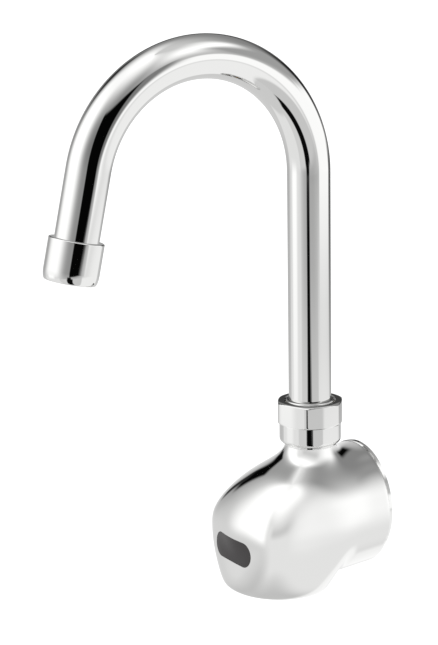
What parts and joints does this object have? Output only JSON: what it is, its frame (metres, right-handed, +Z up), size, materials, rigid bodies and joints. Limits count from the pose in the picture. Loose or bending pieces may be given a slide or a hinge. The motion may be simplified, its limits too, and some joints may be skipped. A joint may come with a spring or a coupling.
{
  "type": "wall-mounted sensor faucet",
  "caption": "Hands-free wall-mounted basin faucet: cast body with a sensor window, hexagonal coupling nut and a swivelling gooseneck spout with an aerated outlet.",
  "frame": {"origin": "middle of the wall flange's back face, in the mouth of the supply inlet, on the wall", "axes": "+Y into the wall along the inlet, +Z up along the swivel's axis; the spout reaches along -Y"},
  "size_m": [0.0586, 0.1557, 0.2533],
  "materials": {
    "chrome": "polished chrome plate",
    "foam": "closed-cell foam",
    "steel": "plain stainless steel",
    "black_rubber": "moulded rubber",
    "brass": "as cast and turned",
    "fibre": "pressed fibre",
    "white_plastic": "plain moulded",
    "blue_plastic": "plain moulded",
    "window_plastic": "polished, dark, passes infrared",
    "black_plastic": "fine moulded grain",
    "board": "solder mask",
    "lamp_clear": "clear moulded lamp",
    "lamp_dark": "dark moulded lamp"
  },
  "bodies": {
    "fixed": {"body_shell": "chrome", "wall_flange": "chrome", "wall_gasket": "foam", "body_set_screw": "steel", "lead_grommet": "black_rubber", "waterway_elbow": "brass", "shank_washer": "fibre", "neck_washer": "chrome", "neck_collar": "chrome", "neck_o_ring": "black_rubber", "coupling_nut": "chrome", "lower_swivel_washer": "white_plastic", "upper_swivel_washer": "white_plastic", "sensor_window": "window_plastic", "window_gasket": "black_rubber", "sensor_housing": "black_plastic", "sensor_back_cover": "black_plastic", "sensor_circuit_board": "board", "infrared_emitter": "lamp_clear", "infrared_receiver": "lamp_dark", "cover_screw_left": "steel", "cover_screw_right": "steel", "sensor_bracket": "steel", "housing_screw_left": "steel", "housing_screw_right": "steel", "bracket_screw": "steel"},
    "spout": {"gooseneck_tube": "chrome", "spout_tail": "chrome", "tail_o_ring_upper": "black_rubber", "tail_o_ring_lower": "black_rubber", "outlet_sleeve": "chrome", "aerator_housing": "chrome", "aerator_washer": "black_rubber", "flow_regulator": "blue_plastic", "aerator_insert": "white_plastic", "aerator_screen": "steel"}
  },
  "joints": [
    {"name": "spout_swivel", "type": "hinge", "parent": "fixed", "child": "spout", "pos_m": [0, -0.0265, 0.04565], "axis": [0, 0, 1], "range_deg": [-95, 95]}
  ]
}
